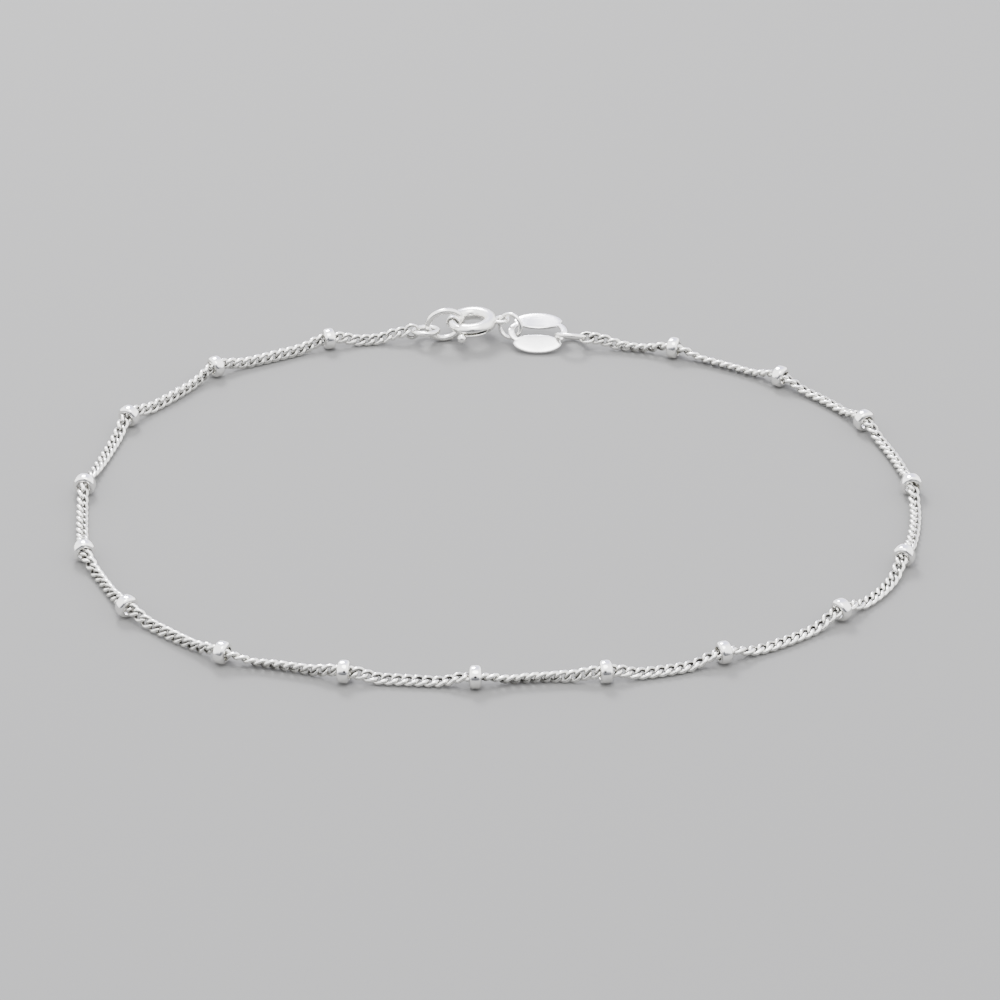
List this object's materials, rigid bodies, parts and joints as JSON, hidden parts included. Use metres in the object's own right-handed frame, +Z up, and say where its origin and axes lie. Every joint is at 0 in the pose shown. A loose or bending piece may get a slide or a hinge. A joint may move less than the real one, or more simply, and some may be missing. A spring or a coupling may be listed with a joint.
{
  "type": "curb chain bracelet",
  "caption": "Fine silver curb chain bracelet with round station beads, a stamped tag and a spring ring clasp whose trigger opens; it lies as a closed oval loop.",
  "frame": {"origin": "on the table, under the middle of the bracelet's box as it lies", "axes": "+X to the right along the loop's long side, +Y to the back where the clasp is, +Z up"},
  "size_m": [0.0692, 0.0545, 0.0035],
  "materials": {
    "polished_silver": "polished sterling silver",
    "bead_silver": "bright polished sterling silver",
    "chain_silver": "sterling silver wire, tumbled bright",
    "tag_silver": "satin stamped sterling silver"
  },
  "bodies": {
    "root": {"bead_01": "bead_silver", "bead_02": "bead_silver", "bead_03": "bead_silver", "bead_04": "bead_silver", "bead_05": "bead_silver", "bead_06": "bead_silver", "bead_07": "bead_silver", "bead_08": "bead_silver", "bead_09": "bead_silver", "bead_10": "bead_silver", "bead_11": "bead_silver", "bead_12": "bead_silver", "bead_13": "bead_silver", "bead_14": "bead_silver", "bead_15": "bead_silver", "bead_16": "bead_silver", "bead_17": "bead_silver", "chain": "chain_silver", "end_ring_left": "polished_silver", "end_ring_right": "polished_silver", "jump_ring": "polished_silver", "clasp_link": "polished_silver", "spring_ring": "polished_silver", "tag_link": "tag_silver"},
    "trigger": {"trigger": "polished_silver"}
  },
  "joints": [
    {"name": "trigger_turn", "type": "hinge", "parent": "root", "child": "trigger", "pos_m": [-0.0023, 0.02512, 0.0016], "axis": [-0.0783, 0.0645, 0.9948], "range_deg": [0, 48], "stiffness_Nm_per_rad": 0.003, "springref_deg": -17.19}
  ]
}
